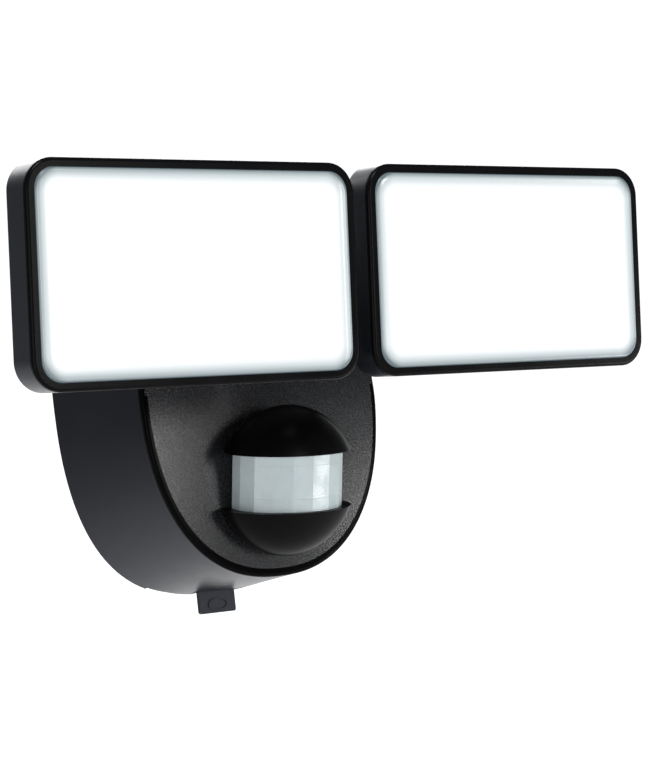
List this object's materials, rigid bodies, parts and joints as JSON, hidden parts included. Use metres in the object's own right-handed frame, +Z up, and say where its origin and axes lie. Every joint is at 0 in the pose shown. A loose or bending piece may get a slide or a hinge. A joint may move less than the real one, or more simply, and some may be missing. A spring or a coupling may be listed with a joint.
{
  "type": "twin-head motion-sensor wall light",
  "caption": "Battery wall light with pair of wide adjustable LED heads above a flared housing with a domed motion sensor and a release tab.",
  "frame": {"origin": "on the wall, midway between the wall plate's two screw holes", "axes": "+X to the viewer's right, +Y into the wall, +Z up; the light faces -Y"},
  "size_m": [0.2792, 0.1296, 0.1606],
  "materials": {
    "black_plastic": "satin",
    "textured_plastic": "textured",
    "gloss_black": "gloss",
    "cap_plastic": "satin",
    "grey_plastic": "matte",
    "diffuser_white": "frosted",
    "reflector_white": "gloss",
    "lens_film": "translucent",
    "seal_rubber": "matte",
    "steel": "zinc plated",
    "plated_steel": "nickel plated",
    "cell_wrap": "gloss",
    "circuit_board": "solder mask",
    "component_plastic": "matte",
    "led_yellow": "phosphor",
    "led_red": "clear"
  },
  "bodies": {
    "housing": {"wall_plate": "grey_plastic", "latch_pin": "steel", "rear_housing": "black_plastic", "cover_seal": "seal_rubber", "front_cover": "textured_plastic", "cover_screws": "steel", "battery_tray": "grey_plastic", "battery_cell_1": "cell_wrap", "battery_cell_2": "cell_wrap", "battery_cell_3": "cell_wrap", "battery_cell_4": "cell_wrap", "contact_strips": "plated_steel", "contact_springs": "plated_steel", "battery_door": "black_plastic", "door_screw": "steel", "control_board": "circuit_board", "board_components": "component_plastic", "board_screws": "steel", "sensor_upper_cap": "cap_plastic", "sensor_lower_cap": "cap_plastic", "sensor_lens": "lens_film", "sensor_bracket": "grey_plastic", "sensor_board": "circuit_board", "pyro_sensor": "plated_steel", "photocell": "component_plastic", "indicator_led": "led_red", "bracket_screws": "steel", "left_arm": "black_plastic", "left_arm_nut": "steel", "left_pan_bolt": "steel", "right_arm": "black_plastic", "right_arm_nut": "steel", "right_pan_bolt": "steel"},
    "latch": {"release_latch": "black_plastic"},
    "mode_slider": {"mode_switch": "grey_plastic"},
    "duration_knob": {"duration_dial": "grey_plastic"},
    "left_pan_bracket": {"left_knuckle": "black_plastic"},
    "left_head": {"left_head_shell": "black_plastic", "left_bezel": "gloss_black", "left_diffuser": "diffuser_white", "left_lens_seal": "seal_rubber", "left_reflector": "reflector_white", "left_led_board": "circuit_board", "left_led_chips": "led_yellow", "left_led_board_screws": "steel", "left_cable_gland": "seal_rubber", "left_tilt_bolt": "steel", "left_tilt_nut": "steel"},
    "right_pan_bracket": {"right_knuckle": "black_plastic"},
    "right_head": {"right_head_shell": "black_plastic", "right_bezel": "gloss_black", "right_diffuser": "diffuser_white", "right_lens_seal": "seal_rubber", "right_reflector": "reflector_white", "right_led_board": "circuit_board", "right_led_chips": "led_yellow", "right_led_board_screws": "steel", "right_cable_gland": "seal_rubber", "right_tilt_bolt": "steel", "right_tilt_nut": "steel"}
  },
  "joints": [
    {"name": "latch_press", "type": "hinge", "parent": "housing", "child": "latch", "pos_m": [0, -0.0024, -0.076], "axis": [1, 0, 0], "range_deg": [0, 5], "stiffness_Nm_per_rad": 0.05},
    {"name": "mode_slide", "type": "slide", "parent": "housing", "child": "mode_slider", "axis": [1, 0, 0], "range_m": [-0.0018, 0.0018]},
    {"name": "duration_turn", "type": "hinge", "parent": "housing", "child": "duration_knob", "pos_m": [0.009, -0.004, 0.033], "axis": [0, 1, 0], "range_deg": [0, 270]},
    {"name": "left_pan", "type": "hinge", "parent": "housing", "child": "left_pan_bracket", "pos_m": [-0.0714, -0.076, 0.0234], "axis": [0, 0, 1], "range_deg": [-50, 5]},
    {"name": "left_tilt", "type": "hinge", "parent": "left_pan_bracket", "child": "left_head", "pos_m": [-0.0714, -0.0897, 0.0234], "axis": [1, 0, 0], "range_deg": [-30, 40]},
    {"name": "right_pan", "type": "hinge", "parent": "housing", "child": "right_pan_bracket", "pos_m": [0.0714, -0.076, 0.0234], "axis": [0, 0, 1], "range_deg": [-5, 50]},
    {"name": "right_tilt", "type": "hinge", "parent": "right_pan_bracket", "child": "right_head", "pos_m": [0.0714, -0.0897, 0.0234], "axis": [1, 0, 0], "range_deg": [-30, 40]}
  ]
}
